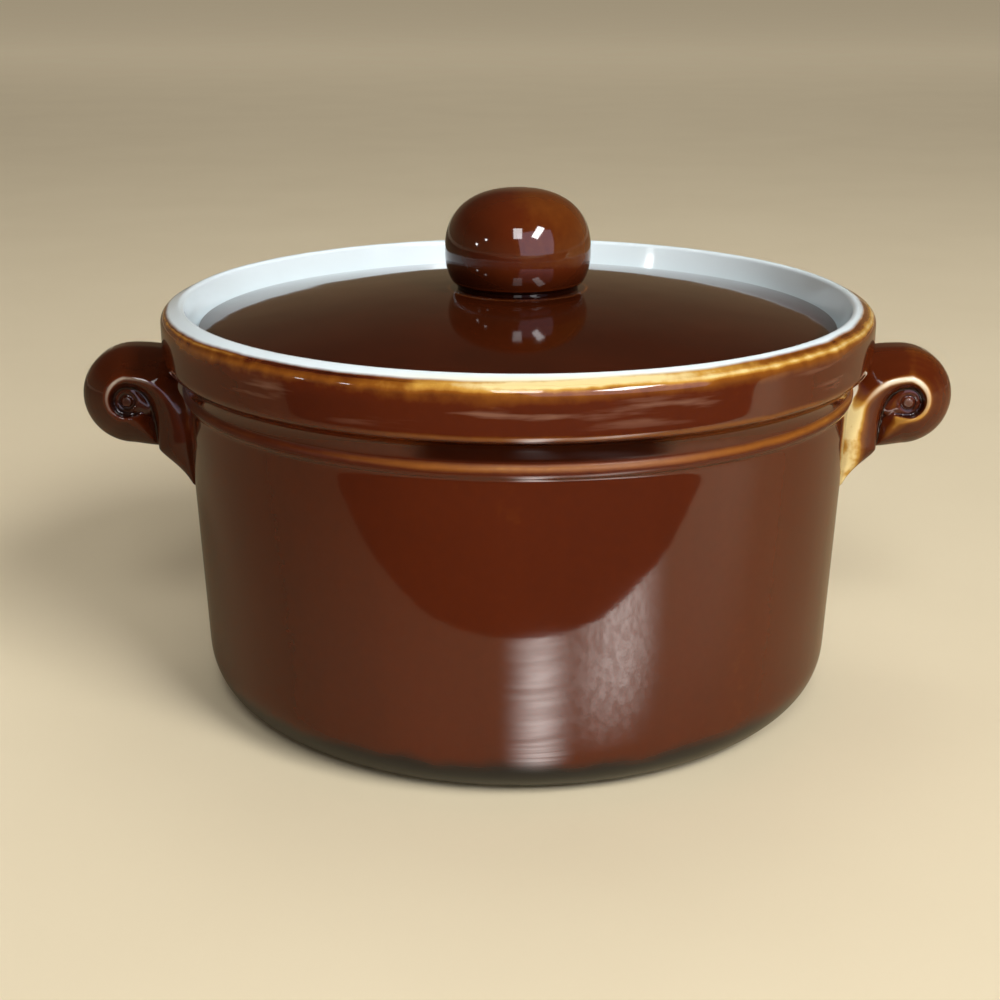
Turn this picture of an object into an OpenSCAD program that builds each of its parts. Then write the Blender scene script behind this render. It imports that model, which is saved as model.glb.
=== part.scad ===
// Stoneware casserole dish: a straight-sided pot with two scroll lugs and a domed lid that lifts off.
// Millimetres. Z is up and is the pot's axis, the table is z = 0, and the lugs lie along X.

/* [Pot] */
// Diameter of the straight wall just under the bead
wall_d = 189.2; // [160:0.2:230]
// How much the wall's radius narrows from the bead down to the table
wall_taper = 3.85; // [0:0.05:8]
// Thickness of the side wall, glaze included
wall_t = 8; // [6:0.2:10]
// Height of the rim above the table
pot_h = 115.2; // [95:0.2:140]
// Thickness of the floor, from the table to the inside
floor_t = 9; // [6:0.2:14]
// Radius of the rounded outer corner between wall and base
corner_r = 16.5; // [8:0.5:20]
// Radius of the rounded inner corner between wall and floor
inner_corner_r = 10; // [5:0.5:14]
// Width of the ring that the pot stands on
foot_w = 9; // [5:0.5:14]
// Depth of the shallow recess inside that ring
foot_recess = 1.2; // [0.6:0.1:2.5]

/* [Collar and bead] */
// How far the collar stands out past the wall
collar_stand = 6; // [4:0.2:8]
// Height of the collar's straight band, down from the rim
collar_h = 13.4; // [11:0.2:15]
// Radius of the collar's lower edge; the hollow under it takes the rest of the way in to the wall
collar_under_r = 3; // [1.5:0.1:3.2]
// Depth of the bead's middle below the rim
bead_drop = 24.4; // [22.4:0.2:28]
// Radius of the bead's half round
bead_r = 2.3; // [1.8:0.1:3]
// How far the bead stands out past the wall
bead_stand = 1.1; // [0.4:0.1:1.5]
// Depth of the fine groove under the bead
quirk = 0.3; // [0.1:0.1:0.6]

/* [Lip and lid seat] */
// Thickness of the lip at the rim
lip_t = 7.7; // [6.6:0.1:9]
// How far the lip's top falls from its inner crest to its outer rounding
lip_fall = 1.4; // [0:0.1:2.5]
// Radius of the lip's outer rounding
lip_out_r = 3; // [2:0.1:4]
// Radius of the lip's inner crest
lip_in_r = 1.4; // [1.2:0.1:2.5]
// How much the gallery above the ledge narrows from the rim down
gallery_flare = 1.3; // [0:0.1:2]
// Depth of the ledge that carries the lid, below the rim
ledge_drop = 11.7; // [9.5:0.1:14]
// Width of that ledge
ledge_w = 8.1; // [7:0.1:9.5]
// Height of the ledge's inner nose
ledge_t = 5; // [4:0.2:8]
// Radius of the hollow corner between ledge and gallery
ledge_fillet_r = 2; // [1:0.1:3]

/* [Glaze] */
// Thickness of the white glaze coats
glaze_t = 0.8; // [0.4:0.1:1.1]
// Angle on the lip's outer rounding where the white glaze ends, from level
white_edge_a = 56; // [35:1:60]

/* [Lid] */
// Gap all round between the lid's edge and the gallery
lid_gap = 2; // [1.5:0.1:4]
// Gap between the lid and the ledge that it sits on
seat_gap = 0.3; // [0.2:0.05:0.5]
// Thickness of the lid's rounded edge
lid_edge_t = 5; // [4:0.1:6]
// Thickness of the lid's dome
lid_t = 6.5; // [5:0.1:8]
// Rise of the dome from edge to crown
lid_rise = 9.2; // [8:0.1:14]
// Angle on the lid's rounded edge up to which the white glaze of its underside wraps, from level
lid_white_a = 62; // [20:1:70]

/* [Knob] */
// Widest diameter of the knob
knob_d = 41.4; // [30:0.2:55]
// Height of the knob's widest line above its seat
knob_waist = 10.4; // [8:0.2:13]
// Height of the knob above its widest line
knob_top = 17.5; // [12:0.2:24]
// Half height of the ball below its widest line, were it whole
knob_bottom = 13.6; // [13:0.2:18]
// Squareness of the ball: 2 is an ellipse, more is fuller
knob_fullness = 2.4; // [2:0.05:3]
// Height of the neck under the ball
neck_h = 2.8; // [1:0.1:4]
// How far the neck stands in from the ball's underside
neck_in = 1.9; // [0.5:0.1:3]

/* [Handles] */
// Width of each scroll over its ridges, along the pot's wall
handle_w = 28; // [22:0.5:36]
// Diameter of the rolled end at its crown
roll_d = 28.6; // [24:0.2:32]
// Distance of the roll's middle from the wall
roll_stand = 16.6; // [14:0.2:22]
// Depth of the roll's middle below the rim
roll_drop = 29; // [28:0.2:34]
// Width of the flat along the roll's crown
crown_w = 4.2; // [2:0.2:10]
// Diameter of the eye in the middle of the scroll
eye_d = 8; // [6:0.2:10]
// Diameter of the groove round the boss in the eye
boss_d = 4.2; // [3.4:0.2:5.4]
// Depth of that groove
boss_groove = 0.7; // [0.4:0.1:1]
// Height of the ridge above the eye, where it passes over the eye
ridge_up = 3.6; // [2:0.1:5]
// Distance from the roll's middle in to the fold, where the strap runs down to the tail
fold_in = 8; // [7:0.1:10]
// Depth of the fold between the strap and its curled end
fold_deep = 4; // [2:0.1:5]
// How far the strap's back falls away from its crest, inside the wall
back_fall = 3.5; // [0.5:0.5:5]
// Length of the tail below the roll's middle
tail_drop = 25; // [20:0.5:32]
// How far each side of the tail draws in at its tip
tail_draw = 3; // [0:0.5:6]

/* [Hidden] */
$fn = 120;

brown = [0.33, 0.13, 0.05];
amber = [0.45, 0.22, 0.07];
white = [0.91, 0.95, 0.97];

// Pot, outside
wall_r = wall_d / 2;
bead_z = pot_h - bead_drop;
wall_top_z = bead_z - bead_r - quirk;
taper_a = atan2(wall_taper, wall_top_z);
corner_x = wall_at(corner_r) - corner_r / cos(taper_a);
foot_in_r = corner_x - foot_w;
collar_r = wall_r + collar_stand;
collar_z = pot_h - collar_h;
cove_r = wall_r + bead_stand / 2;
under_x = collar_r - collar_under_r;
under_z = collar_z - collar_under_r;
hollow_under_r = under_x - cove_r;
bead_x = wall_r + bead_stand - bead_r;
bead_low_a = acos((wall_r - quirk - bead_x) / bead_r);
bead_top_a = acos((cove_r - bead_x) / bead_r);

// Lip, gallery and inside
mouth_r = collar_r - lip_t;
crest = [mouth_r + lip_in_r, pot_h - lip_in_r];
shoulder = [collar_r - lip_out_r, pot_h - lip_fall - lip_out_r];
lip_way = shoulder - crest;
lip_a = atan2(lip_way.y, lip_way.x) + acos((lip_in_r - lip_out_r) / norm(lip_way));
gallery_r = mouth_r - gallery_flare;
ledge_z = pot_h - ledge_drop;
ledge_in_r = gallery_r - ledge_w;
nose_r = ledge_t / 3;
nose_z = ledge_z - ledge_t;
corbel = max(0, wall_at(nose_z) - wall_t - ledge_in_r);
corbel_z = nose_z - corbel;
inner_corner_z = floor_t + inner_corner_r;
inner_corner_x = wall_at(inner_corner_z) - wall_t - inner_corner_r / cos(taper_a);

// Lid: a dome of one radius that runs into a rounded edge
lid_r = gallery_r - lid_gap;
seat_z = ledge_z + seat_gap;
edge_half = lid_edge_t / 2;
edge_c = [lid_r - edge_half, seat_z + edge_half];
dome_r = (lid_r * lid_r + lid_rise * lid_rise) / (2 * lid_rise);
dome_a = asin(edge_c.x / (dome_r - edge_half));
dome_z = edge_c.y - (dome_r - edge_half) * cos(dome_a);
hollow_r = dome_r - lid_t;
hollow_edge_r = sqrt(pow(hollow_r, 2) - pow(seat_z - dome_z, 2));

// Knob: a full ball cut off by its neck
knob_r = knob_d / 2;
knob_power = 2 / knob_fullness;
knob_cut = (knob_waist - neck_h) / knob_bottom;
knob_cut_a = asin(pow(knob_cut, 1 / knob_power));
neck_r = knob_r * pow(cos(knob_cut_a), knob_power) - neck_in;
knob_z = dome_z + sqrt(dome_r * dome_r - neck_r * neck_r);

// Scroll handle, drawn in the plane of X and Z
roll_r = roll_d / 2;
eye_r = eye_d / 2;
half_w = handle_w / 2;
roll_z = pot_h - roll_drop;
roll_c = [wall_at(roll_z) + roll_stand, roll_z];
roll_top = roll_c + [0, roll_r];
eye_top = roll_c + [0, eye_r];
heel = roll_c - [fold_in, roll_r];
heel_a = atan2(fold_in, roll_r);
tail_tip = [wall_at(roll_z - tail_drop), roll_z - tail_drop];
buried_x = wall_at(roll_z) - wall_t / 2;
root = [buried_x, mix(heel.y, roll_z, 0.3)];
half_crown = crown_w / 2;
fold_w = half_w - fold_deep;
ridge_share = ridge_up / (roll_r - eye_r);
ridge_end = 0.1 * ridge_share;
crest_in = 0.9;
heel_share = crest_share(heel);
heel_lead = [fold_in / 8, fold_in / 3];
curl_turn = 70;
side_power = 1.2;
tail_steps = 10;
bend_steps = 16;
turn_steps = 24;
curl_steps = 10;
edge_steps = 7;
fuse = 0.4;

// Radius of the pot's tapered wall at a height
function wall_at(z) = wall_r - wall_taper * (1 - z / wall_top_z);

function mix(a, b, u) = a + (b - a) * u;

function reverse(list) = [for (i = [len(list) - 1 : -1 : 0]) list[i]];

// Points on an arc about c, from angle a to angle b
function arc(c, r, a, b, steps = 12) =
    [for (i = [0 : steps]) let (t = mix(a, b, i / steps)) c + r * [cos(t), sin(t)]];

// Point on a cubic curve
function bend(p, u) =
    pow(1 - u, 3) * p[0] + 3 * u * pow(1 - u, 2) * p[1] + 3 * u * u * (1 - u) * p[2] + pow(u, 3) * p[3];

// Outside of the pot, from the middle of the base up to where the white glaze starts on the lip
function pot_outside() = concat(
    [[0, foot_recess], [foot_in_r - foot_recess, foot_recess], [foot_in_r, 0]],
    arc([corner_x, corner_r], corner_r, -90, -taper_a, 16),
    [[wall_r, wall_top_z]],
    arc([bead_x, bead_z], bead_r, -bead_low_a, bead_top_a, 10),
    arc([under_x, under_z - hollow_under_r], hollow_under_r, 180, 90, 8),
    arc([under_x, collar_z], collar_under_r, -80, 0, 8),
    arc(shoulder, lip_out_r, 0, white_edge_a, 6));

// Inside of the pot, from the middle of the floor to the end of the white glaze, set back by a skin
function pot_inside(skin) = let (slant = skin * tan(22.5)) concat(
    [[0, floor_t - skin]],
    arc([inner_corner_x, inner_corner_z], inner_corner_r + skin, -90, -taper_a),
    [[wall_at(corbel_z) - wall_t + skin, corbel_z + slant], [ledge_in_r + skin, nose_z + slant]],
    arc([ledge_in_r + nose_r, ledge_z - nose_r], nose_r - skin, 180, 90, 6),
    arc([gallery_r - ledge_fillet_r, ledge_z + ledge_fillet_r], ledge_fillet_r + skin, -90, 0, 6),
    arc(crest, lip_in_r - skin, 180, lip_a, 6),
    arc(shoulder, lip_out_r - skin, lip_a, white_edge_a, 4));

// Underside of the lid, from its middle to the end of the white glaze on its edge, set back by a skin
function lid_inside(skin) = concat(
    arc([0, dome_z], hollow_r + skin, 90, acos(hollow_edge_r / hollow_r), 20),
    arc(edge_c, edge_half - skin, -90, lid_white_a));

// Outline of the ball, from its neck up to its crown
function ball() = [for (i = [0 : 28])
    let (a = mix(-knob_cut_a, 90, i / 28), half_h = a < 0 ? knob_bottom : knob_top)
    [knob_r * pow(cos(a), knob_power),
     knob_z + knob_waist + sign(a) * half_h * pow(abs(sin(a)), knob_power)]];

// A spoke is one cut across the strap: its inner point, its outer point, the share of the way out at which
// its ridge lies, and its half widths at the inner point, the ridge and the outer point.
// The tail grows from its tip on the wall up to the heel, and its ridge runs beside the wall.
function tail_spoke(u) =
    let (w = half_w - tail_draw * (1 - u),
         edge = bend([tail_tip, mix(tail_tip, heel, 0.4), heel - heel_lead, heel], u))
    [edge, mix([buried_x, tail_tip.y - fold_deep], root, u), crest_share(edge),
     mix(w / 3, fold_w, u), w, w - back_fall];

// Share of the way from an edge point in to the strap's buried back at which the crest runs
function crest_share(edge) = crest_in * (edge.x - wall_at(edge.y)) / (edge.x - buried_x);

// Line of the fold, from the heel up and over to the top of the eye
function fold(u) = bend([heel, heel + [0, fold_in], eye_top - [fold_in, 0], eye_top], u);

// The strap swings out from the wall and over the roll, and its ridge closes in on the eye.
function bend_spoke(u) =
    let (out = bend([root, [buried_x, roll_top.y - eye_r / 2], roll_top - [roll_r, 0], roll_top], u),
         crown = (half_w - back_fall) * sqrt(min(1, (roll_top.y - out.y) / roll_r)))
    [fold(u), out, mix(ridge_share, heel_share, pow(1 - u, 2)), fold_w, half_w, max(half_crown, crown)];

// It goes round the eye and under it, and its ridge runs out on the way.
function turn_spoke(u) =
    let (way = [sin(180 * u), cos(180 * u)])
    [roll_c + eye_r * way, roll_c + roll_r * way, mix(ridge_end, ridge_share, pow(1 - u, 2)),
     fold_w, half_w, half_crown];

// Its end draws away from the eye, meets the heel and tucks in under the fold.
function curl_spoke(u) =
    let (a = curl_turn * u, way = -[sin(a), cos(a)],
         reach = a < heel_a ? mix(roll_r, norm(heel - roll_c), pow(a / heel_a, 2)) : fold_in / sin(a))
    [roll_c + mix(eye_r, 1.6 * eye_r, u * u) * way, roll_c + (reach + fuse * u) * way, ridge_end,
     fold_w, mix(half_w, fold_w - fold_deep / 2, u * u), mix(half_crown, fold_w, u)];

// Outline of one spoke: a crowned back from the outer point to the ridge, and a rounded side down to the fold
function spoke_points(s) =
    let (ridge = mix(s[0], s[1], s[2]),
         side = [for (i = [0 : edge_steps]) let (t = i / edge_steps)
                     [mix(s[1], ridge, t * t), mix(s[5], s[4], t)],
                 for (i = [1 : edge_steps]) let (a = 90 * i / edge_steps)
                     [mix(ridge, s[0], pow(sin(a), side_power)), mix(s[3], s[4], pow(cos(a), side_power))]])
    concat([for (p = side) [p[0].x, p[1], p[0].y]],
           [for (p = reverse(side)) [p[0].x, -p[1], p[0].y]]);

strap_spokes = [
    for (i = [0 : tail_steps - 1]) tail_spoke(i / tail_steps),
    for (i = [0 : bend_steps - 1]) bend_spoke(i / bend_steps),
    for (i = [0 : turn_steps]) turn_spoke(i / turn_steps),
    for (i = [1 : curl_steps]) curl_spoke(i / curl_steps)];

// Solid between neighbouring spokes, all along the strap
module strap() {
    for (i = [0 : len(strap_spokes) - 2])
        hull() {
            points = concat(spoke_points(strap_spokes[i]), spoke_points(strap_spokes[i + 1]));
            polyhedron(points, [[for (k = [0 : len(points) - 1]) k]]);
        }
}

// Round lobe across the scroll, domed at both ends
module lobe(c, r, half) {
    dome = fold_deep / 2;
    end = [for (a = [0 : 15 : 90]) [r * cos(a), half - dome + dome * sin(a)]];
    translate([c.x, 0, c.y])
        rotate([90, 0, 0])
            rotate_extrude($fn = 40) polygon(concat(end, reverse([for (p = end) [p.x, -p.y]])));
}

// The eye, with the stem by which it comes up from under the fold and a groove round the boss at each end
module eye() {
    boss_y = fold_w + fold_deep / 2 - boss_groove / 2;
    difference() {
        hull() {
            lobe(roll_c, eye_r + fuse, fold_w + fold_deep / 2);
            lobe(fold(0.5) + [0.6 * eye_r, 0], 0.6 * eye_r + fuse, fold_w + fold_deep / 4);
        }
        for (y = [-boss_y, boss_y])
            translate([roll_c.x, y, roll_c.y])
                rotate([90, 0, 0])
                    rotate_extrude($fn = 36) translate([boss_d / 2, 0]) circle(boss_groove, $fn = 12);
    }
}

// One scroll on the +X side, cut to seat on the pot's outside
module scroll() {
    difference() {
        union() {
            strap();
            eye();
        }
        rotate_extrude($fn = 360) polygon(concat(pot_outside(), [[0, pot_h]]));
    }
}

module pot_body() {
    color(brown)
        rotate_extrude() polygon(concat(pot_outside(), reverse(pot_inside(glaze_t))));
}

module pot_lining() {
    color(white)
        rotate_extrude() polygon(concat(pot_inside(0), reverse(pot_inside(glaze_t))));
}

module left_handle() {
    color(brown) mirror([1, 0, 0]) scroll();
}

module right_handle() {
    color(brown) scroll();
}

module lid_plate() {
    color(brown)
        rotate_extrude() polygon(concat(
            lid_inside(glaze_t),
            arc(edge_c, edge_half, lid_white_a, 90 - dome_a, 4),
            arc([0, dome_z], dome_r, 90 - dome_a, acos(neck_r / dome_r), 24),
            [[0, knob_z]]));
}

module lid_lining() {
    color(white)
        rotate_extrude() polygon(concat(lid_inside(0), reverse(lid_inside(glaze_t))));
}

module lid_knob() {
    color(amber)
        rotate_extrude() polygon(concat(
            [[0, knob_z], [neck_r, knob_z], [neck_r, knob_z + neck_h]],
            ball()));
}

pot_body();
pot_lining();
left_handle();
right_handle();
lid_plate();
lid_lining();
lid_knob();
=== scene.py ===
"""Stoneware casserole dish in glossy brown glaze, lined with white, with scroll lugs and a lift-off lid."""
import math

import bpy
import numpy as np
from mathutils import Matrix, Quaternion, Vector


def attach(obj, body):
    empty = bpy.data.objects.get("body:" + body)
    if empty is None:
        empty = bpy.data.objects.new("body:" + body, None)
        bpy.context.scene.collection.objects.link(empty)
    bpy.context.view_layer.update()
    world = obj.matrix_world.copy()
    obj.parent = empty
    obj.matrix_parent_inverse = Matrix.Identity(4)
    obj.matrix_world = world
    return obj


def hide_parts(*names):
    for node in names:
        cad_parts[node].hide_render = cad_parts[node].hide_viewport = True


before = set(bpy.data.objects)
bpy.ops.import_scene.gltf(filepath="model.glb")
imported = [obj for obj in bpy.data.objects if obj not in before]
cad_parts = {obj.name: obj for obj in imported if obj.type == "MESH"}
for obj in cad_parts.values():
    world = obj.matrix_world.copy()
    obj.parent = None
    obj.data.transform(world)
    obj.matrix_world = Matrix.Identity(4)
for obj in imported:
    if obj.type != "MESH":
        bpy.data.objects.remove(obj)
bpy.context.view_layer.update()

MM = 0.001

# Pot, in millimetres
WALL_R = 94.6
WALL_TAPER = 3.85
WALL_T = 8
POT_H = 115.2
FLOOR_T = 9
CORNER_R = 16.5
INNER_CORNER_R = 10
FOOT_W = 9
FOOT_RECESS = 1.2
WALL_RINGS = 34

# Collar and bead
COLLAR_R = 100.6
COLLAR_Z = 101.8
COLLAR_UNDER_R = 3
COLLAR_UNDER_A = 62
BEAD_Z = 90.8
BEAD_R = 2.3
BEAD_STAND = 1.1
BEAD_LOW_A = -55
BEAD_TOP_A = 52
QUIRK = 0.3
COVE_STAND = 0.2
COVE_LOW_A = 172
COVE_TOP_A = 184 - COLLAR_UNDER_A

# Lip and the ledge that carries the lid
LIP_FALL = 1.4
LIP_OUT_R = 3
LIP_IN_R = 1.4
MOUTH_R = 93.9
GALLERY_R = 91.6
LEDGE_Z = 103.5
LEDGE_IN_R = 83.5
LEDGE_T = 5
LEDGE_FILLET_R = 2
GLAZE_T = 0.8
WHITE_EDGE_A = 56
TUCK = 0.25

# Lid
LID_R = 89.6
SEAT_Z = 103.8
LID_EDGE_T = 5
LID_T = 6.5
LID_RISE = 9.2
LID_WHITE_A = 62
LID_TUCK = 0.3
KNOB_SEAT_SHARE = 0.8

# Knob
KNOB_R = 20.7
KNOB_WAIST = 10.4
KNOB_TOP = 17.5
KNOB_BOTTOM = 15.6
KNOB_FULLNESS = 2.4
NECK_H = 1.7
NECK_IN = 1.2
NECK_SUNK = 0.4
NECK_FLARE = 0.3
NECK_EDGE = 0.4
NECK_FLARE_H = 0.5

# Lugs: the middle of the roll, the clay behind it, and the ring that cuts the lug off at the wall
ROLL_X = 111.1
ROLL_Z = 86.2
BACKING_X = 88
BACKING_IN_R = 84
BACKING_HALF_W = 22
BACKING_DEPTH = 0.6
BACKING_LOW_Z = 54
BACKING_HIGH_Z = 105
CUT_DEPTH = 0.2
CUT_IN_R = WALL_R - 20
CUT_LOW_Z = 46
CUT_HIGH_Z = 110

# Meshes: spacing and merging in millimetres, angles in degrees
TURNS = 96
RING_GAP = 2
LIP_RING_GAP = 1.5
INSIDE_RING_GAP = 4
CORBEL_RING_GAP = 1
MERGE = 0.01
NODE_MERGE = 0.001
LUG_VOXEL = 0.36
LUG_MERGE = LUG_VOXEL / 3
LUG_SOFTENING = 9
RELIEF_SOFTENING = 140
SMOOTH_A = 40
LUG_SMOOTH_A = 60

# Camera of the photograph, fitted to the dish
CAMERA_AT = (-5.155, -484.9, 211.25)
CAMERA_PITCH = 0.315
CAMERA_ROLL = -0.0012
CAMERA_LENS = 61.89

WALL_TOP_Z = BEAD_Z - BEAD_R - QUIRK
TAPER_A = math.degrees(math.atan2(WALL_TAPER, WALL_TOP_Z))


def wall_at(z):
    """Radius of the tapered wall at a height."""
    return WALL_R - WALL_TAPER * (1 - z / WALL_TOP_Z)


def spread(a, b, steps):
    """Even values from a to b, both included."""
    return [a + (b - a) * i / steps for i in range(steps + 1)]


def arc(centre, r, a, b, steps=8):
    """Points on an arc, from angle a to angle b in degrees."""
    turns = spread(math.radians(a), math.radians(b), steps)
    return [(centre[0] + r * math.cos(t), centre[1] + r * math.sin(t)) for t in turns]


# Outlines of the turned pieces, as radius and height in millimetres

COVE_R = WALL_R + COVE_STAND
CREST = (MOUTH_R + LIP_IN_R, POT_H - LIP_IN_R)
SHOULDER = (COLLAR_R - LIP_OUT_R, POT_H - LIP_FALL - LIP_OUT_R)
LIP_RUN = SHOULDER[0] - CREST[0]
LIP_DROP = CREST[1] - SHOULDER[1]
LIP_TILT = math.atan2(LIP_DROP, LIP_RUN)
LIP_A = math.degrees(math.acos((LIP_IN_R - LIP_OUT_R) / math.hypot(LIP_RUN, LIP_DROP)) - LIP_TILT)
RIPPLES = ((0.004, 0.41, 0), (0.002, 1.1, 1))


def ripple(z):
    """Faint rings that the potter's fingers leave on the wall: waves with a height, a rate and a start."""
    return sum(height * math.sin(z * rate + start) for height, rate, start in RIPPLES)


def pot_outside():
    """From the middle of the base up to the lip, where the edge tucks in under the white glaze."""
    corner_x = wall_at(CORNER_R) - CORNER_R / math.cos(math.radians(TAPER_A))
    foot_in = corner_x - FOOT_W
    bead = (WALL_R + BEAD_STAND - BEAD_R, BEAD_Z)
    under = arc((COLLAR_R - COLLAR_UNDER_R, COLLAR_Z), COLLAR_UNDER_R, -COLLAR_UNDER_A, 0, 6)
    slope = math.radians(COLLAR_UNDER_A)
    cove_r = (under[0][0] - COVE_R) / (1 - math.cos(slope))
    cove = (COVE_R + cove_r, under[0][1] - cove_r * math.sin(slope))
    points = [(0, FOOT_RECESS), (foot_in / 2, FOOT_RECESS), (foot_in - 2 * FOOT_RECESS, FOOT_RECESS)]
    points += [(foot_in, 0), (foot_in + FOOT_W / 3, 0)]
    points += arc((corner_x, CORNER_R), CORNER_R, -90, -TAPER_A, 14)
    heights = spread(CORNER_R + RING_GAP, WALL_TOP_Z - RING_GAP, WALL_RINGS)
    points += [(wall_at(z) + ripple(z), z) for z in heights]
    points += [(WALL_R, WALL_TOP_Z)]
    points += arc(bead, BEAD_R, BEAD_LOW_A, BEAD_TOP_A, 8)
    points += arc(cove, cove_r, COVE_LOW_A, COVE_TOP_A, 7) + under
    points += [(COLLAR_R, z) for z in spread(COLLAR_Z + RING_GAP, SHOULDER[1] - LIP_RING_GAP, 3)]
    points += arc(SHOULDER, LIP_OUT_R, 0, WHITE_EDGE_A, 6)
    return points + arc(SHOULDER, LIP_OUT_R - TUCK, WHITE_EDGE_A + 5, WHITE_EDGE_A + 6, 1)


def pot_inside(skin):
    """From the middle of the floor up to the lip, set back by a skin."""
    corner_z = FLOOR_T + INNER_CORNER_R
    corner_x = wall_at(corner_z) - WALL_T - INNER_CORNER_R / math.cos(math.radians(TAPER_A))
    nose_r = LEDGE_T / 3
    nose_z = LEDGE_Z - LEDGE_T
    corbel_z = nose_z - max(0, wall_at(nose_z) - WALL_T - LEDGE_IN_R)
    heights = spread(corner_z + INSIDE_RING_GAP, corbel_z - CORBEL_RING_GAP, 8)
    fillet = (GALLERY_R - LEDGE_FILLET_R, LEDGE_Z + LEDGE_FILLET_R)
    points = [(x, FLOOR_T - skin) for x in spread(0, corner_x - INSIDE_RING_GAP, 4)]
    points += arc((corner_x, corner_z), INNER_CORNER_R + skin, -90, -TAPER_A)
    points += [(wall_at(z) - WALL_T + skin, z) for z in heights]
    points += [(wall_at(corbel_z) - WALL_T + skin, corbel_z), (LEDGE_IN_R + skin, nose_z)]
    points += arc((LEDGE_IN_R + nose_r, LEDGE_Z - nose_r), nose_r - skin, 180, 90, 4)
    points += arc(fillet, LEDGE_FILLET_R + skin, -90, 0, 5)
    points += [((GALLERY_R + MOUTH_R) / 2 + skin, (LEDGE_Z + POT_H) / 2)]
    points += arc(CREST, LIP_IN_R - skin, 180, LIP_A, 6)
    return points + arc(SHOULDER, LIP_OUT_R - skin, LIP_A, WHITE_EDGE_A, 3)


LID_EDGE_R = LID_EDGE_T / 2
LID_EDGE = (LID_R - LID_EDGE_R, SEAT_Z + LID_EDGE_R)
DOME_R = (LID_R ** 2 + LID_RISE ** 2) / (2 * LID_RISE)
DOME_A = math.degrees(math.asin(LID_EDGE[0] / (DOME_R - LID_EDGE_R)))
DOME = (0, LID_EDGE[1] - (DOME_R - LID_EDGE_R) * math.cos(math.radians(DOME_A)))
KNOB_POWER = 2 / KNOB_FULLNESS
KNOB_CUT_A = math.degrees(math.asin(((KNOB_WAIST - NECK_H) / KNOB_BOTTOM) ** (1 / KNOB_POWER)))
NECK_R = KNOB_R * math.cos(math.radians(KNOB_CUT_A)) ** KNOB_POWER - NECK_IN
KNOB_Z = DOME[1] + math.sqrt(DOME_R ** 2 - NECK_R ** 2)


def lid_inside(skin):
    """Underside of the lid, from its middle to the end of the white glaze on its edge, set back by a skin."""
    hollow_r = DOME_R - LID_T
    hollow_a = math.degrees(math.asin((SEAT_Z - DOME[1]) / hollow_r))
    hollow = arc(DOME, hollow_r + skin, 90, hollow_a, 16)
    return hollow + arc(LID_EDGE, LID_EDGE_R - skin, -90, LID_WHITE_A, 10)


def lid_outline():
    """The lid's clay and its brown top, from the middle of the hollow out and back to under the knob."""
    neck_a = math.degrees(math.acos(NECK_R / DOME_R))
    seat_a = math.degrees(math.acos(KNOB_SEAT_SHARE * NECK_R / DOME_R))
    tucked = arc(LID_EDGE, LID_EDGE_R - LID_TUCK, LID_WHITE_A - 4, LID_WHITE_A - 2, 1)
    top = arc(LID_EDGE, LID_EDGE_R, LID_WHITE_A, 90 - DOME_A, 3)
    top += arc(DOME, DOME_R, 89.5 - DOME_A, neck_a, 26)
    seat = arc(DOME, DOME_R - LID_TUCK, seat_a, 90, 4)
    return lid_inside(GLAZE_T) + tucked + top + seat


def knob_outline():
    """A full ball on a short neck, from the middle of its seat up to its crown."""
    sunk_z = KNOB_Z - NECK_SUNK
    neck = [(0, sunk_z), (NECK_R + NECK_FLARE, sunk_z)]
    neck += [(NECK_R, KNOB_Z + NECK_FLARE_H), (NECK_R, KNOB_Z + NECK_H - NECK_EDGE)]
    ball = []
    for a in spread(-KNOB_CUT_A, 90, 30):
        rise = abs(math.sin(math.radians(a))) ** KNOB_POWER
        half = KNOB_TOP if a > 0 else -KNOB_BOTTOM
        r = KNOB_R * max(0, math.cos(math.radians(a))) ** KNOB_POWER
        ball.append((r, KNOB_Z + KNOB_WAIST + half * rise))
    return neck + ball


# Modelling

def only(thing):
    """Makes one object the only selected and active one."""
    bpy.ops.object.select_all(action="DESELECT")
    thing.select_set(True)
    bpy.context.view_layer.objects.active = thing


def edit_all(thing):
    """Opens one object for editing, with all of it selected."""
    only(thing)
    bpy.ops.object.mode_set(mode="EDIT")
    bpy.ops.mesh.select_all(action="SELECT")


def finish_with(thing, kind, **settings):
    """Adds a modifier and applies it."""
    only(thing)
    modifier = thing.modifiers.new(kind.title(), kind)
    for name, value in settings.items():
        setattr(modifier, name, value)
    bpy.ops.object.modifier_apply(modifier=modifier.name)


def throw(name, outline):
    """A piece thrown on the wheel: its outline is drawn point by point and spun about the pot's axis."""
    bpy.ops.object.select_all(action="DESELECT")
    x, z = outline[0]
    bpy.ops.mesh.primitive_plane_add(size=MM, location=(x * MM, 0, z * MM))
    piece = bpy.context.object
    piece.name = piece.data.name = name
    bpy.ops.object.transform_apply(location=True)
    bpy.ops.object.mode_set(mode="EDIT")
    bpy.ops.mesh.merge(type="CENTER")
    for x2, z2 in outline[1:]:
        step = ((x2 - x) * MM, 0, (z2 - z) * MM)
        bpy.ops.mesh.extrude_region_move(TRANSFORM_OT_translate={"value": step})
        x, z = x2, z2
    bpy.ops.mesh.select_all(action="SELECT")
    bpy.ops.mesh.spin(steps=TURNS, angle=2 * math.pi, center=(0, 0, 0), axis=(0, 0, 1))
    bpy.ops.mesh.select_all(action="SELECT")
    bpy.ops.mesh.remove_doubles(threshold=MERGE * MM)
    bpy.ops.mesh.normals_make_consistent(inside=False)
    bpy.ops.object.mode_set(mode="OBJECT")
    return piece


def turned_piece(name, outline):
    """A thrown piece with its surface smoothed, as glaze softens every edge."""
    piece = throw(name, outline)
    finish_with(piece, "SUBSURF", levels=1, render_levels=1)
    only(piece)
    bpy.ops.object.shade_smooth_by_angle(angle=math.radians(SMOOTH_A))
    return piece


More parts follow.
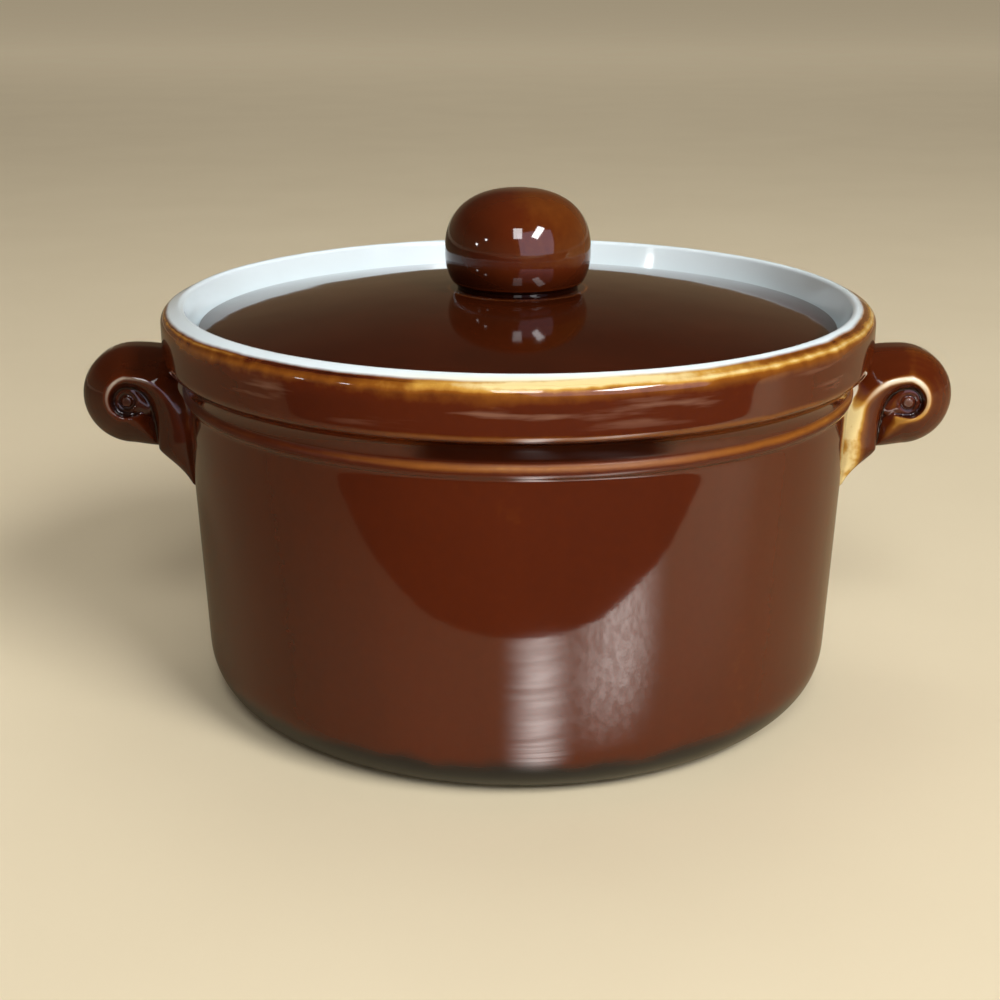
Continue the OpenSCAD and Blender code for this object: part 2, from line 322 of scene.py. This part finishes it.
def wall_ring(name, depth, inner_r, low, high):
    """A ring of the pot's wall between two heights, set back from the wall's face by a depth."""
    face = [(x - depth, z) for x, z in pot_outside() if low < z < high]
    return throw(name, face + [(inner_r, face[-1][1]), (inner_r, face[0][1]), face[0]])


def lug_backing(name):
    """The piece of the wall that the right lug is luted to."""
    block = wall_ring(name, BACKING_DEPTH, BACKING_IN_R, BACKING_LOW_Z, BACKING_HIGH_Z)
    edit_all(block)
    for at, inwards in (
        ((BACKING_X, 0, 0), (1, 0, 0)),
        ((0, BACKING_HALF_W, 0), (0, -1, 0)),
        ((0, -BACKING_HALF_W, 0), (0, 1, 0)),
    ):
        bpy.ops.mesh.select_all(action="SELECT")
        place = [v * MM for v in at]
        bpy.ops.mesh.bisect(plane_co=place, plane_no=inwards, use_fill=True, clear_inner=True)
    bpy.ops.object.mode_set(mode="OBJECT")
    return block


def note_relief(lug):
    """Keeps how far each point stands out from the lug's softened form; glaze runs thin where it does."""
    soft = bpy.data.objects.new("softened", lug.data.copy())
    bpy.context.scene.collection.objects.link(soft)
    finish_with(soft, "SMOOTH", factor=0.5, iterations=RELIEF_SOFTENING)
    count = len(lug.data.vertices)
    points, softened, normals = (np.empty(count * 3, np.float32) for _ in range(3))
    lug.data.vertices.foreach_get("co", points)
    soft.data.vertices.foreach_get("co", softened)
    lug.data.vertices.foreach_get("normal", normals)
    relief = ((points - softened) * normals).reshape(-1, 3).sum(axis=1) / MM
    lug.data.attributes.new("relief", "FLOAT", "POINT").data.foreach_set("value", relief)
    bpy.data.objects.remove(soft)


def luted_lug(name, node):
    """A scroll lug worked into the wall: one mass of clay, smoothed and cut off under the wall's face."""
    lug = bpy.data.objects.new(name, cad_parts[node].data.copy())
    bpy.context.scene.collection.objects.link(lug)
    edit_all(lug)
    bpy.ops.mesh.remove_doubles(threshold=NODE_MERGE * MM)
    bpy.ops.object.mode_set(mode="OBJECT")
    backing = lug_backing(name + "_backing")
    only(lug)
    backing.select_set(True)
    bpy.ops.object.join()
    finish_with(lug, "REMESH", mode="VOXEL", voxel_size=LUG_VOXEL * MM)
    finish_with(lug, "SMOOTH", factor=0.5, iterations=LUG_SOFTENING)
    core = wall_ring(name + "_core", CUT_DEPTH, CUT_IN_R, CUT_LOW_Z, CUT_HIGH_Z)
    finish_with(lug, "BOOLEAN", operation="DIFFERENCE", object=core, solver="EXACT")
    bpy.data.objects.remove(core)
    edit_all(lug)
    bpy.ops.mesh.remove_doubles(threshold=LUG_MERGE * MM)
    bpy.ops.mesh.dissolve_degenerate(threshold=MERGE * MM)
    bpy.ops.object.mode_set(mode="OBJECT")
    note_relief(lug)
    only(lug)
    bpy.ops.object.shade_smooth_by_angle(angle=math.radians(LUG_SMOOTH_A))
    return lug


def opposite(lug, name):
    """The same lug on the other side of the pot."""
    twin = bpy.data.objects.new(name, lug.data.copy())
    bpy.context.scene.collection.objects.link(twin)
    twin.scale.x = -1
    only(twin)
    bpy.ops.object.transform_apply(scale=True)
    edit_all(twin)
    bpy.ops.mesh.normals_make_consistent(inside=False)
    bpy.ops.object.mode_set(mode="OBJECT")
    return twin


pot = turned_piece("pot", pot_outside() + pot_inside(GLAZE_T)[::-1])
pot_lining = turned_piece("white_lining", pot_inside(0) + pot_inside(GLAZE_T)[::-1])
lid = turned_piece("lid", lid_outline())
lid_lining = turned_piece("lid_white_lining", lid_inside(0) + lid_inside(GLAZE_T)[::-1])
knob = turned_piece("knob", knob_outline())
right_lug = luted_lug("right_scroll_lug", "right_handle")
left_lug = opposite(right_lug, "left_scroll_lug")


# Finishes

PALE_GOLD = (0.78, 0.62, 0.29, 1)
GOLD = (0.52, 0.27, 0.045, 1)
AMBER = (0.22, 0.070, 0.008, 1)
RED_BROWN = (0.078, 0.0125, 0.0025, 1)
DARK_BROWN = (0.034, 0.006, 0.0014, 1)
POOLED = (0.010, 0.0018, 0.0008, 1)
GLINT_TAN = (0.24, 0.12, 0.075, 1)
HIGHLIGHT_CREAM = (0.88, 0.80, 0.64, 1)
STAINED = (0.85, 0.76, 0.46, 1)
CHARCOAL = (0.014, 0.011, 0.010, 1)
CLAY = (0.36, 0.24, 0.14, 1)
WHITE = (0.80, 0.90, 0.93, 1)
GREY_WHITE = (0.73, 0.81, 0.84, 1)

# Glaze from thin to thick
GLAZE_STOPS = [
    (0.0, PALE_GOLD),
    (0.14, GOLD),
    (0.3, AMBER),
    (0.5, RED_BROWN),
    (0.74, DARK_BROWN),
    (1.0, POOLED),
]

# Where the pot's glaze changes, and where painted shade, glints and highlights lie, as heights and as ways
# out and down over the lip, in millimetres
SCORCHED_Z = (12.5, 17.5)
BARE_FOOT_Z = (0.4, 0.8)
COVE_MIDDLE_Z = 96.5
COLLAR_EDGE_Z = 101.0
GLINTS_Z = 106.5
LIP_TOP_Z = POT_H - 1.6
WHITE_ENDS = (98.2, 99.9)
SEAM_AT = 100.5
RUN_AT = 101
GILT_HIGHLIGHT_AT = 103.2
FALL_ENDS = (108.5, 103.5)

# Where the lugs' glaze changes and the painted highlight lies: round the eye, up the lug, out from the axis
# and across the tail
BUTTON_R = (4.5, 3)
CREST_Z = (73, 80)
HIGHLIGHT_Z = (82, 89)
HIGHLIGHT_OUT = (119, 113)
TAIL_Z = (93, 82)
TAIL_OUT = (100.5, 96)
TAIL_Y = (8, 11)


class Finish:
    """Lays the nodes of one finish, whose pattern is fixed to the piece."""

    def __init__(self, name):
        self.material = bpy.data.materials.new(name)
        self.material.use_nodes = True
        self.tree = self.material.node_tree
        self.surface = self.tree.nodes["Principled BSDF"]
        self.place = self.add("ShaderNodeTexCoord").outputs["Object"]
        split = self.add("ShaderNodeSeparateXYZ", {"Vector": self.place})
        self.x, self.y, self.z = split.outputs

    def feed(self, socket, value):
        """Links a value to a socket, or sets it there."""
        if isinstance(value, bpy.types.NodeSocket):
            self.tree.links.new(value, socket)
        else:
            socket.default_value = value

    def add(self, kind, inputs=None, **settings):
        node = self.tree.nodes.new(kind)
        for name, value in settings.items():
            setattr(node, name, value)
        for name, value in (inputs or {}).items():
            self.feed(node.inputs[name], value)
        return node

    def math(self, operation, a, b):
        return self.add("ShaderNodeMath", {0: a, 1: b}, operation=operation).outputs[0]

    def radius(self):
        """Distance from the pot's axis."""
        flat = self.add("ShaderNodeCombineXYZ", {"X": self.x, "Y": self.y})
        return self.add("ShaderNodeVectorMath", {0: flat.outputs[0]}, operation="LENGTH").outputs["Value"]

    def kept(self, name):
        """A value that is kept on the piece's own points."""
        return self.add("ShaderNodeAttribute", attribute_name=name).outputs["Fac"]

    def noise(self, scale, detail=3.0, stretch=(1, 1, 1)):
        """Noise of about 0 to 1, with a scale per metre, squeezed along each axis by stretch."""
        moved = self.add("ShaderNodeMapping", {"Vector": self.place, "Scale": stretch})
        inputs = {"Vector": moved.outputs[0], "Scale": scale, "Detail": detail}
        return self.add("ShaderNodeTexNoise", inputs).outputs[0]

    def ease(self, value, low, high, at_low=0.0, at_high=1.0):
        """A smooth step from one value to another."""
        inputs = {0: value, 1: low, 2: high, 3: at_low, 4: at_high}
        return self.add("ShaderNodeMapRange", inputs, interpolation_type="SMOOTHSTEP").outputs[0]

    def off(self, value, centre):
        """Distance from a centre, to either side."""
        return self.math("ABSOLUTE", self.math("SUBTRACT", value, centre), 0)

    def near(self, value, centre, reach):
        """1 at a centre, easing to 0 at a reach on either side."""
        return self.ease(self.off(value, centre), 0, reach, 1, 0)

    def between(self, value, ends, at_low=0.0, at_high=1.0):
        """A smooth step between two places in millimetres."""
        return self.ease(value, ends[0] * MM, ends[1] * MM, at_low, at_high)

    def plus(self, total, part, share):
        """The total with a share of a part added."""
        return self.add("ShaderNodeMath", {0: part, 1: share, 2: total}, operation="MULTIPLY_ADD").outputs[0]

    def ramp(self, value, stops):
        node = self.add("ShaderNodeValToRGB", {0: value})
        points = node.color_ramp.elements
        while len(points) < len(stops):
            points.new(0.5)
        for point, (at, colour) in zip(points, stops):
            point.position = at
            point.color = colour
        return node.outputs[0]

    def mix(self, share, a, b):
        return self.add("ShaderNodeMix", {0: share, 6: a, 7: b}, data_type="RGBA").outputs[2]

    def set(self, **inputs):
        """Sets or links the shader's own sockets; an underscore stands for a space."""
        for name, value in inputs.items():
            socket = name.replace("_", " ").title().replace("Ior", "IOR")
            self.feed(self.surface.inputs[socket], value)

    def bump(self, height, depth):
        """Uneven surface: a height of 0 to 1 over a depth in metres."""
        node = self.add("ShaderNodeBump", {"Height": height, "Distance": depth, "Strength": 1.0})
        self.set(normal=node.outputs[0])

    def on(self, *pieces):
        for piece in pieces:
            piece.data.materials.clear()
            piece.data.materials.append(self.material)


def mottled(finish, base, clouded=0.16):
    """Thickness of brown glaze that runs and clouds: 0 is thin and golden, 1 is pooled and dark."""
    clouds = finish.noise(26, 4)
    drips = finish.noise(40, 2, (1.6, 1.6, 0.16))
    specks = finish.noise(420, 2)
    thick = finish.plus(base, clouds, clouded)
    thick = finish.plus(thick, drips, 0.10)
    return finish.plus(thick, specks, 0.06)


def cove_painted_shade(f):
    """Painted shade in the cove, at the front, where the glaze is made darker and duller as if it lay thick.
    """
    deep = f.between(f.off(f.z, COVE_MIDDLE_Z * MM), (2.2, 3.8), 1, 0)
    across = f.between(f.off(f.x, 5 * MM), (24, 36), 1, 0)
    return f.math("MULTIPLY", deep, across)


def white_glaze(f):
    return f.mix(f.noise(35, 4), WHITE, GREY_WHITE)


def over_lip(f):
    """How far out and down over the lip a point lies, with melted glaze's wander; the right runs ahead."""
    way = f.math("ADD", f.radius(), f.math("SUBTRACT", LIP_TOP_Z * MM, f.z))
    way = f.plus(way, f.noise(80, 5), 1.6 * MM)
    way = f.plus(way, f.noise(18, 2), 1.4 * MM)
    way = f.plus(way, f.between(f.x, (-15, 50)), 1.8 * MM)
    return f.plus(way, f.between(f.x, (-70, -92)), -1.2 * MM)


def pot_glaze(f):
    """Colour of the pot's brown glaze, which runs off the lip, and its share over the white.

    By the white lie a dark seam, a gilt line that is partly a painted highlight, and an amber fall. Paler to
    the right and darker to the left below the lip as painted light and shade; the bead and collar edge are
    thin glaze with a painted highlight and reflection.
    """
    way = over_lip(f)
    front = f.near(f.x, 8 * MM, 60 * MM)
    right = f.between(f.x, (20, 50))
    seam = f.near(way, SEAM_AT * MM, 1.1 * MM)
    gilt_and_highlight = f.near(way, GILT_HIGHLIGHT_AT * MM, 1.8 * MM)
    fall = f.between(way, FALL_ENDS)
    bead = f.near(f.plus(f.z, f.noise(70, 3), 0.8 * MM), (BEAD_Z + 1.6) * MM, 1.5 * MM)
    edge = f.near(f.plus(f.z, f.noise(90, 3), 1.0 * MM), COLLAR_EDGE_Z * MM, 1.3 * MM)
    thick = mottled(f, 0.40, 0.08)
    for zone, side, share in (
        # The amber fall is paler to the right, partly as painted light.
        (fall, f.between(f.x, (-40, 10), 0.9, 1.6), -0.24),
        (f.near(way, RUN_AT * MM, 3.6 * MM), front, -0.46),
        (fall, f.noise(230, 4), 0.3),
        # Painted highlight: the gilt line is paler, most on the right.
        (gilt_and_highlight, right, -0.2),
        (gilt_and_highlight, f.between(f.x, (0, -20)), -0.1),
        (seam, f.near(f.x, -45 * MM, 30 * MM), 0.26),
        (seam, f.between(f.x, (52, 72)), 0.12),
        (seam, f.between(f.x, (-62, -75)), -0.2),
        # Thin glaze on the bead and the collar's lower edge, with a painted highlight and reflection that
        # grow to the right.
        (bead, f.between(f.x, (-70, 0), 0.5, 1), -0.23),
        (edge, f.between(f.x, (-70, 0), 0.4, 1), -0.16),
        # Painted shade: the cove at the front darkened.
        (cove_painted_shade(f), 1.0, 0.36),
        # Painted shade: the left side below the lip is darker.
        (f.between(f.x, (-15, -60)), f.between(f.z, (112, 106)), 0.08),
    ):
        thick = f.plus(thick, f.math("MULTIPLY", zone, side), share)
    return f.ramp(thick, GLAZE_STOPS), f.between(way, WHITE_ENDS)


def pot_finish():
    f = Finish("brown_glaze_pot")
    glaze, brown = pot_glaze(f)
    # Painted glints: tan streaks on the collar stand in for lamp light caught by uneven glaze.
    glint_streaks = f.ease(f.noise(60, 4, (0.45, 0.45, 4)), 0.56, 0.7, 0, 0.6)
    painted_glints = f.math("MULTIPLY", glint_streaks, f.near(f.z, GLINTS_Z * MM, 6 * MM))
    glaze = f.mix(brown, white_glaze(f), f.mix(painted_glints, glaze, GLINT_TAN))
    scorched = f.between(f.plus(f.z, f.noise(60, 3), 7 * MM), SCORCHED_Z, 1, 0)
    bare = f.between(f.z, BARE_FOOT_Z, 1, 0)
    coated = f.mix(scorched, glaze, CHARCOAL)
    f.set(base_color=f.mix(bare, coated, CLAY))
    bead = f.near(f.z, (BEAD_Z + 1) * MM, 3.2 * MM)
    rough = f.plus(f.plus(f.noise(60, 2), scorched, 2.0), bead, 4.0)
    soft = f.math("MAXIMUM", f.math("MULTIPLY", scorched, 0.3), f.math("MULTIPLY", bead, 0.6))
    # The cove's painted shade also lowers its specular level.
    dull = f.math("MAXIMUM", soft, cove_painted_shade(f))
    f.set(roughness=f.ease(rough, 0.3, 6.0, 0.06, 0.5), specular_ior_level=f.ease(dull, 0, 1, 0.5, 0.02))
    rings = f.plus(f.noise(14, 2), f.noise(12, 2, (0.5, 0.5, 14)), 0.03)
    rings = f.plus(rings, f.noise(45, 2, (0.15, 0.15, 8)), 0.01)
    low_right = f.math("MULTIPLY", f.between(f.x, (6, 20)), f.between(f.z, (55, 35)))
    pitted = f.math("MULTIPLY", f.noise(700, 2), f.ease(low_right, 0, 1, 0.1, 1))
    f.bump(f.plus(rings, pitted, 0.05), 0.4 * MM)
    return f


def lug_finish(side, base, bared, tail, highlight_share, highlight_relief):
    """Brown glaze that runs thin on the crests and by the wall on the tail, and pools in the folds, with a
    painted cream highlight on the upper crests; the gold by the wall on the tail is partly painted light.
    """
    f = Finish("brown_glaze_%s_lug" % side)
    relief = f.kept("relief")
    out = f.math("ABSOLUTE", f.x, 0)
    across = f.math("SUBTRACT", out, ROLL_X * MM)
    off = f.add("ShaderNodeCombineXYZ", {"X": across, "Y": f.math("SUBTRACT", f.z, ROLL_Z * MM)}).outputs[0]
    eye = f.add("ShaderNodeVectorMath", {0: off}, operation="LENGTH").outputs["Value"]
    button = f.between(eye, BUTTON_R, 1, 0.1)
    crest = f.math("MULTIPLY", f.ease(relief, 0.03, 0.35), f.between(f.z, CREST_Z))
    crest = f.math("MULTIPLY", crest, button)
    by_wall = f.math("MULTIPLY", f.between(out, TAIL_OUT), f.between(f.z, TAIL_Z))
    by_wall = f.math("MULTIPLY", by_wall, f.between(f.math("ABSOLUTE", f.y, 0), TAIL_Y))
    by_wall = f.math("MULTIPLY", by_wall, f.ease(f.noise(170, 3), 0.3, 0.6, 0.55, 1))
    thick = mottled(f, base)
    thick = f.plus(thick, crest, -bared)
    thick = f.plus(thick, by_wall, -tail)
    thick = f.plus(thick, f.ease(relief, -0.05, -0.4), 0.4)
    # Painted highlight: the upper crests are mixed toward cream.
    high = f.math("MULTIPLY", f.ease(relief, *highlight_relief, 0, highlight_share), f.between(f.z, HIGHLIGHT_Z))
    high = f.math("MULTIPLY", f.math("MULTIPLY", high, button), f.between(out, HIGHLIGHT_OUT))
    f.set(base_color=f.mix(high, f.ramp(thick, GLAZE_STOPS), HIGHLIGHT_CREAM), roughness=0.07)
    f.bump(f.noise(120, 2), 0.1 * MM)
    return f


def lid_finish():
    f = Finish("brown_glaze_lid")
    thick = mottled(f, 0.55)
    ring = f.near(f.radius(), (NECK_R + 2.4) * MM, 0.9 * MM)
    thick = f.plus(thick, ring, -0.3)
    edge = f.between(f.radius(), (LID_EDGE[0] - 2.5, LID_EDGE[0]))
    thick = f.plus(thick, edge, 0.2)
    f.set(base_color=f.ramp(thick, GLAZE_STOPS), roughness=0.07)
    f.bump(f.noise(30, 2), 0.25 * MM)
    return f


def knob_finish():
    f = Finish("amber_glaze_knob")
    thick = mottled(f, 0.25, 0.22)
    # Painted shade: the lower half of the ball and its left side are made darker.
    low = f.between(f.z, (KNOB_Z + KNOB_WAIST, KNOB_Z + NECK_H + 1))
    low = f.math("ADD", low, f.between(f.x, (6, -16)))
    edge = f.near(f.z, (KNOB_Z + NECK_H + 0.5) * MM, 0.6 * MM)
    # The neck is darkened, as pooled glaze with painted shade in the undercut.
    neck = f.between(f.z, (KNOB_Z + NECK_H + 0.3, KNOB_Z + NECK_H - 0.1))
    thick = f.plus(thick, low, 0.19)
    thick = f.plus(thick, edge, -0.16)
    thick = f.plus(thick, neck, 0.6)
    f.set(base_color=f.ramp(thick, GLAZE_STOPS), roughness=0.06)
    f.bump(f.noise(60, 2), 0.2 * MM)
    return f


def white_finish():
    """White glaze, which the brown runs on to at the lip."""
    f = Finish("white_glaze")
    glaze, brown = pot_glaze(f)
    lip = f.between(f.radius(), (94.6, 95.4))
    stain = f.math("MULTIPLY", f.between(f.radius(), (95, 98.5)), f.near(f.x, 8 * MM, 55 * MM))
    white = f.mix(stain, white_glaze(f), STAINED)
    f.set(base_color=f.mix(f.math("MULTIPLY", brown, lip), white, glaze), roughness=0.1)
    f.bump(f.noise(45, 2), 0.15 * MM)
    return f


pot_finish().on(pot)
# The left lug's finish is a darker copy as painted shade; the right lug's is a lit copy with a painted golden
# tail and brighter crests.
lug_finish("left", 0.56, 0.2, 0.08, 0.4, (0.3, 0.5)).on(left_lug)
lug_finish("right", 0.38, 0.34, 0.52, 0.85, (0.18, 0.42)).on(right_lug)
lid_finish().on(lid)
knob_finish().on(knob)
white_finish().on(pot_lining, lid_lining)

# What each piece stands for, the body that carries it and its finish
for piece, node, body, slot in (
    (pot, "pot_body", "pot", "brown_glaze"),
    (pot_lining, "pot_lining", "pot", "white_glaze"),
    (left_lug, "left_handle", "pot", "brown_glaze"),
    (right_lug, "right_handle", "pot", "brown_glaze"),
    (lid, "lid_plate", "lid", "brown_glaze"),
    (lid_lining, "lid_lining", "lid", "white_glaze"),
    (knob, "lid_knob", "lid", "amber_glaze"),
):
    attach(piece, body)
    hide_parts(node)


# Floor, lamps and camera, in metres

FLOOR_SIZE = 60
FLOOR_GLOW = 0.34
LAMP_SIDE_Y = (-0.7, -1.4)
GLOW_FROM_Y = (0.8, 3.2)
GLOW_FROM_R = (1.7, 3.2)
FLOOR_COLOUR = (0.82, 0.71, 0.50, 1)
FLOOR_GREY = (0.76, 0.65, 0.45, 1)
FLOOR_PAINTED_SHADE_BY_LAMPS = (0.36, 0.31, 0.22, 1)
BACKDROP = (0.34, 0.29, 0.20, 1)
ROOM_LOW = (0.20, 0.145, 0.085, 1)
ROOM_HIGH = (0.055, 0.04, 0.028, 1)
CARD_LEFT = (0.25, 0.205, 0.115, 1)
CARD_NEAR = (0.86, 0.77, 0.51, 1)
CARD_RIGHT = (0.58, 0.46, 0.26, 1)
CARD_FAR = (0.44, 0.32, 0.17, 1)
DARK_CARD = (0.022, 0.020, 0.018, 1)
DARKER_CARD = (0.018, 0.016, 0.014, 1)
CARD_EDGE_Y = -0.18
CARD_LIFT = 0.001
STREAK_GLOW = (1.0, 0.93, 0.90, 1)
STREAK_STRENGTH = 7.4
PATCH_SHARE = 0.7
FAN_Y = -0.05
STREAK_FAN = (0.125, 0.31)
STREAK_ENDS_Y = (-0.09, -0.105)
PATCH_FAN = (0.70, 0.7)
PATCH_ENDS_Y = (-0.10, -0.15)
CARD_FADES_X = (-0.3, 0.3)
CARD_FADES_Y = (-0.13, 0.03)
DISH_MIDDLE = (0, 0, 0.11)
LAMP_DISTANCE = 2.2
ROOM_LOW_AT = 0.1
ROOM_HIGH_AT = 0.45


def floor():
    bpy.ops.object.select_all(action="DESELECT")
    bpy.ops.mesh.primitive_plane_add(size=FLOOR_SIZE)
    plane = bpy.context.object
    plane.name = "floor"
    f = Finish("pale_floor")
    clouded = f.mix(f.noise(9, 3), FLOOR_COLOUR, FLOOR_GREY)
    # Painted shade: the floor is darker toward the lamps.
    colour = f.mix(f.ease(f.y, *LAMP_SIDE_Y), clouded, FLOOR_PAINTED_SHADE_BY_LAMPS)
    f.set(base_color=colour, roughness=0.6, specular_ior_level=0.0)
    ray = f.add("ShaderNodeLightPath").outputs
    mirrored = f.math("ADD", ray["Is Glossy Ray"], ray["Is Transmission Ray"])
    seen = f.math("ADD", ray["Is Camera Ray"], mirrored)
    far = f.math("MAXIMUM", f.ease(f.y, *GLOW_FROM_Y), f.ease(f.radius(), *GLOW_FROM_R))
    glow = f.math("MULTIPLY", f.math("MULTIPLY", far, FLOOR_GLOW), seen)
    f.set(emission_color=FLOOR_COLOUR, emission_strength=glow)
    f.on(plane)


def card(name, low, high):
    """A card laid on the floor round the dish, from one corner to the other, that shows only in the glaze."""
    bpy.ops.object.select_all(action="DESELECT")
    middle = [(a + b) / 2 for a, b in zip(low, high)]
    bpy.ops.mesh.primitive_plane_add(size=1, location=(*middle, CARD_LIFT))
    plane = bpy.context.object
    plane.name = name
    plane.scale = (high[0] - low[0], high[1] - low[1], 1)
    bpy.ops.object.transform_apply(location=True, scale=True)
    f = Finish(name)
    f.set(roughness=0.9)
    f.on(plane)
    plane.visible_camera = plane.visible_diffuse = plane.visible_shadow = False
    return f


def dark_card():
    """A dark card in front of the dish, which its wall mirrors."""
    f = card("dark_card", (-2, -1.2), (2, CARD_EDGE_Y))
    f.set(base_color=f.mix(f.noise(5, 2), DARK_CARD, DARKER_CARD))


def table_card():
    """A warm card round the dish, paler to the right and near it as painted light, with a painted streak and
    patch of glowing light in front.
    """
    f = card("table_card", (-2, CARD_EDGE_Y), (2, 2))
    right = f.ramp(f.ease(f.y, *CARD_FADES_Y), [(0.0, CARD_NEAR), (0.3, CARD_RIGHT), (1.0, CARD_FAR)])
    f.set(base_color=f.mix(f.ease(f.x, *CARD_FADES_X), CARD_LEFT, right))
    fan = f.math("DIVIDE", f.x, f.math("SUBTRACT", FAN_Y, f.y))
    lines = f.ease(f.noise(50, 3, (0.4, 6, 1)), 0.3, 0.7, 0.6, 1.4)
    blots = f.ease(f.noise(300, 3), 0.35, 0.65, 0.6, 1.4)
    streak = f.math("MULTIPLY", f.math("POWER", f.near(fan, *STREAK_FAN), 2), lines)
    patch = f.math("MULTIPLY", f.math("POWER", f.near(fan, *PATCH_FAN), 2), blots)
    patch = f.math("MULTIPLY", patch, f.ease(f.y, *PATCH_ENDS_Y))
    glow = f.math("MULTIPLY", f.plus(streak, patch, PATCH_SHARE), f.ease(f.y, *STREAK_ENDS_Y))
    f.set(emission_color=STREAK_GLOW, emission_strength=f.math("MULTIPLY", glow, STREAK_STRENGTH))


def softbox(name, azimuth, elevation, size, power, colour=(1, 1, 1), roll=0.0, mirrored=True, lights=True):
    """A lamp that faces the dish: degrees to the right of the camera's side, and degrees above the floor."""
    lamp = bpy.data.lights.new(name, "AREA")
    lamp.shape = "RECTANGLE"
    lamp.size, lamp.size_y = size
    lamp.energy = power
    lamp.color = colour
    box = bpy.data.objects.new(name, lamp)
    bpy.context.scene.collection.objects.link(box)
    a, e = math.radians(azimuth), math.radians(elevation)
    way = (math.cos(e) * math.sin(a), -math.cos(e) * math.cos(a), math.sin(e))
    box.location = [m + LAMP_DISTANCE * w for m, w in zip(DISH_MIDDLE, way)]
    turned = Vector(way).to_track_quat("Z", "Y") @ Quaternion((0, 0, 1), math.radians(roll))
    box.rotation_euler = turned.to_euler()
    box.visible_glossy = mirrored
    box.visible_diffuse = lights


def room_light():
    """Dim light from all round, warmer near the floor, behind a backdrop that only the camera sees."""
    world = bpy.data.worlds.new("studio")
    bpy.context.scene.world = world
    world.use_nodes = True
    room = world.node_tree.nodes
    links = world.node_tree.links
    height = room.new("ShaderNodeSeparateXYZ")
    links.new(room.new("ShaderNodeTexCoord").outputs["Generated"], height.inputs[0])
    shade = room.new("ShaderNodeValToRGB")
    stops = ((ROOM_LOW_AT, ROOM_LOW), (ROOM_HIGH_AT, ROOM_HIGH))
    for stop, (at, colour) in zip(shade.color_ramp.elements, stops):
        stop.position = at
        stop.color = colour
    links.new(height.outputs["Z"], shade.inputs[0])
    ray = room.new("ShaderNodeLightPath")
    seen = room.new("ShaderNodeMix")
    seen.data_type = "RGBA"
    seen.inputs[7].default_value = BACKDROP
    links.new(ray.outputs["Is Camera Ray"], seen.inputs[0])
    links.new(shade.outputs[0], seen.inputs[6])
    links.new(seen.outputs[2], room["Background"].inputs["Color"])


def photo_camera():
    """The camera at the photograph's viewing angle."""
    camera_data = bpy.data.cameras.new("camera")
    camera_data.lens = CAMERA_LENS
    camera = bpy.data.objects.new("camera", camera_data)
    bpy.context.scene.collection.objects.link(camera)
    camera.location = [v * MM for v in CAMERA_AT]
    camera.rotation_euler = (math.pi / 2 - CAMERA_PITCH, CAMERA_ROLL, 0)
    bpy.context.scene.camera = camera


floor()
dark_card()
table_card()
softbox("front_panel", -1, 38, (0.5, 0.85), 17.5)
softbox("right_panel", 37, 37, (0.4, 1.0), 36, roll=-40)
softbox("window", 30, 22, (1.3, 1.3), 11, (0.9, 0.96, 1.0), mirrored=False)
softbox("dull_window", 30, 18, (2.3, 1.9), 24, (0.74, 0.72, 1.0), lights=False)
softbox("left_spot", -54, 19, (0.12, 0.12), 1.2)
softbox("low_left_spot", -68, 9, (0.12, 0.12), 1.2)
softbox("top_panel", 180, 68, (1.4, 1.4), 10.5, mirrored=False)

room_light()
photo_camera()
bpy.context.scene.view_settings.view_transform = "Standard"
